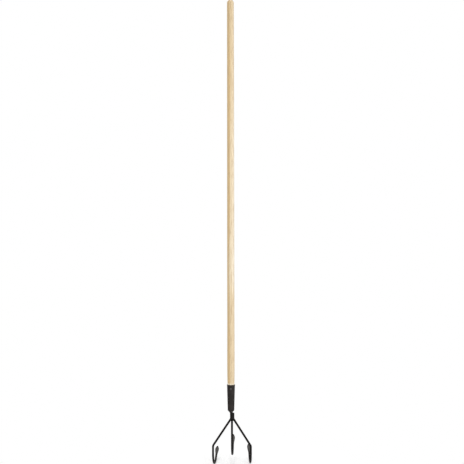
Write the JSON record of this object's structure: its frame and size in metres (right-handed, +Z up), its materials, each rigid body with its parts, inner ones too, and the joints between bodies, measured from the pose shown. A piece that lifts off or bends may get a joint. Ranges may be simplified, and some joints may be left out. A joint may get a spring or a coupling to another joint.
{
  "type": "long handled garden cultivator",
  "caption": "Long wooden handle in a tapered steel socket, with welded rod tines that hook round to forged leaf tips, for loosening soil between plants.",
  "frame": {"origin": "on the handle's axis, halfway along the parallel grip", "axes": "+Z up the handle, hooks point to +Y, tines spread along X"},
  "size_m": [0.1351, 0.1252, 1.5826],
  "materials": {
    "handle_wood": "fine straight grain under a thin satin lacquer",
    "socket_steel": "satin black enamel",
    "tine_steel": "satin black enamel over bent rod",
    "weld_steel": "black enamel over rippled weld"
  },
  "bodies": {
    "root": {"handle": "handle_wood", "socket": "socket_steel", "socket_screw": "socket_steel", "nose_weld": "weld_steel", "left_tine": "tine_steel", "centre_tine": "tine_steel", "right_tine": "tine_steel", "front_weld": "weld_steel", "left_weld": "weld_steel", "right_weld": "weld_steel"}
  },
  "joints": []
}
